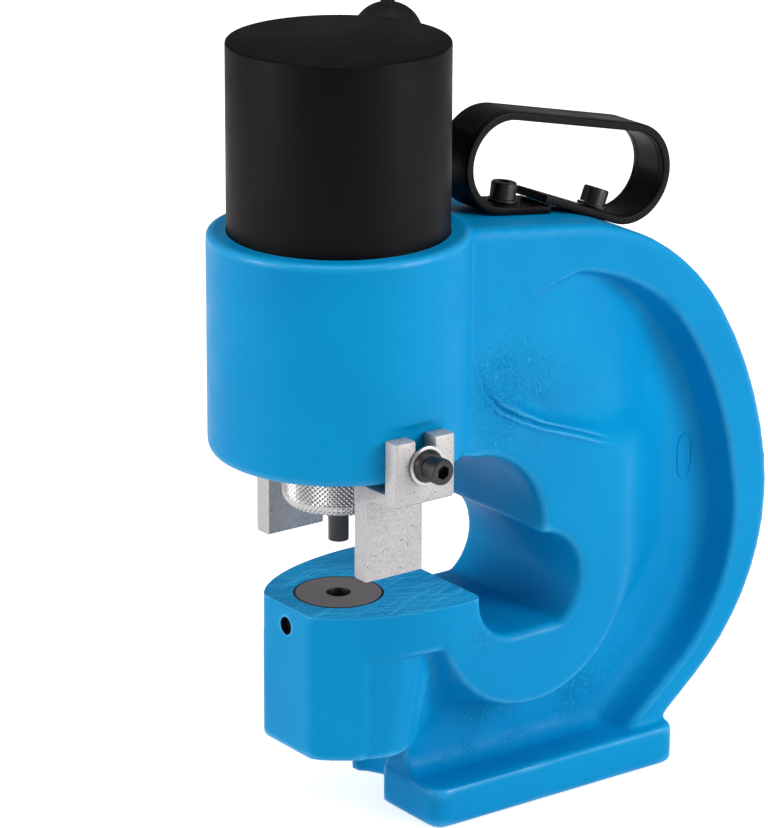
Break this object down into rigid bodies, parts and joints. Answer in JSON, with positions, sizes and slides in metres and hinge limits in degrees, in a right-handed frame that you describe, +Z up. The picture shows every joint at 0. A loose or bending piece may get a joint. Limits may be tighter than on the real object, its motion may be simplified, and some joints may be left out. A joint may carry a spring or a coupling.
{
  "type": "hydraulic hole punch",
  "caption": "Hydraulic hole punch: cast C-frame with throat and foot, spring-return cylinder, sliding ram with punch, die in the anvil, adjustable strippers and strap handle.",
  "frame": {"origin": "middle of the tool's length and width, on the floor under the foot", "axes": "+Z up along the ram, +X from the punch towards the curved back of the frame, +Y towards the side that carries the oil inlet"},
  "size_m": [0.3054, 0.1664, 0.393],
  "materials": {
    "frame_paint": "gloss",
    "barrel_black": "satin",
    "ground_steel": "satin",
    "bright_steel": "satin",
    "cast_steel": "matte",
    "die_steel": "satin",
    "spring_steel": "satin",
    "zinc": "satin",
    "bronze": "satin",
    "black_oxide": "satin",
    "strap_black": "satin",
    "seal_rubber": "matte",
    "cap_rubber": "matte"
  },
  "bodies": {
    "frame": {"frame_casting": "frame_paint", "cylinder_barrel": "barrel_black", "guide_bush": "bronze", "rod_wiper": "seal_rubber", "die": "die_steel", "die_set_screw": "black_oxide", "stripper_washer_near": "zinc", "stripper_washer_far": "zinc", "stripper_spacer_near": "black_oxide", "stripper_spacer_far": "black_oxide", "stripper_screw_near": "black_oxide", "stripper_screw_far": "black_oxide", "handle_strap": "strap_black", "handle_washer_front": "black_oxide", "handle_washer_rear": "black_oxide", "handle_screw_front": "black_oxide", "handle_screw_rear": "black_oxide", "inlet_elbow": "black_oxide", "coupler_body": "zinc", "return_spring": "spring_steel", "coupler_spring": "spring_steel"},
    "ram": {"piston": "ground_steel", "piston_seal": "seal_rubber", "piston_wear_ring": "bronze", "piston_screw": "black_oxide", "ram_rod": "bright_steel", "punch": "black_oxide"},
    "nut": {"coupling_nut": "bright_steel"},
    "stripper_near_body": {"stripper_near": "cast_steel"},
    "stripper_far_body": {"stripper_far": "cast_steel"},
    "inlet_poppet": {"coupler_poppet": "bright_steel"},
    "inlet_cap": {"dust_cap": "cap_rubber"}
  },
  "joints": [
    {"name": "ram_slide", "type": "slide", "parent": "frame", "child": "ram", "axis": [0, 0, -1], "range_m": [0, 0.03], "stiffness_N_per_m": 8000, "springref_m": -0.015, "deforming": ["return_spring"]},
    {"name": "nut_turn", "type": "hinge", "parent": "ram", "child": "nut", "pos_m": [-0.09025, 0, 0.18], "axis": [0, 0, 1], "continuous": true},
    {"name": "stripper_near_slide", "type": "slide", "parent": "frame", "child": "stripper_near_body", "axis": [0, 0, 1], "range_m": [-0.008, 0.0025]},
    {"name": "stripper_far_slide", "type": "slide", "parent": "frame", "child": "stripper_far_body", "axis": [0, 0, 1], "range_m": [-0.008, 0.0025]},
    {"name": "poppet_push", "type": "slide", "parent": "frame", "child": "inlet_poppet", "axis": [0, 0, -1], "range_m": [0, 0.003], "stiffness_N_per_m": 300, "springref_m": -0.002, "deforming": ["coupler_spring"]},
    {"name": "dust_cap_pull", "type": "slide", "parent": "frame", "child": "inlet_cap", "axis": [0, 0, 1], "range_m": [0, 0.03]}
  ]
}
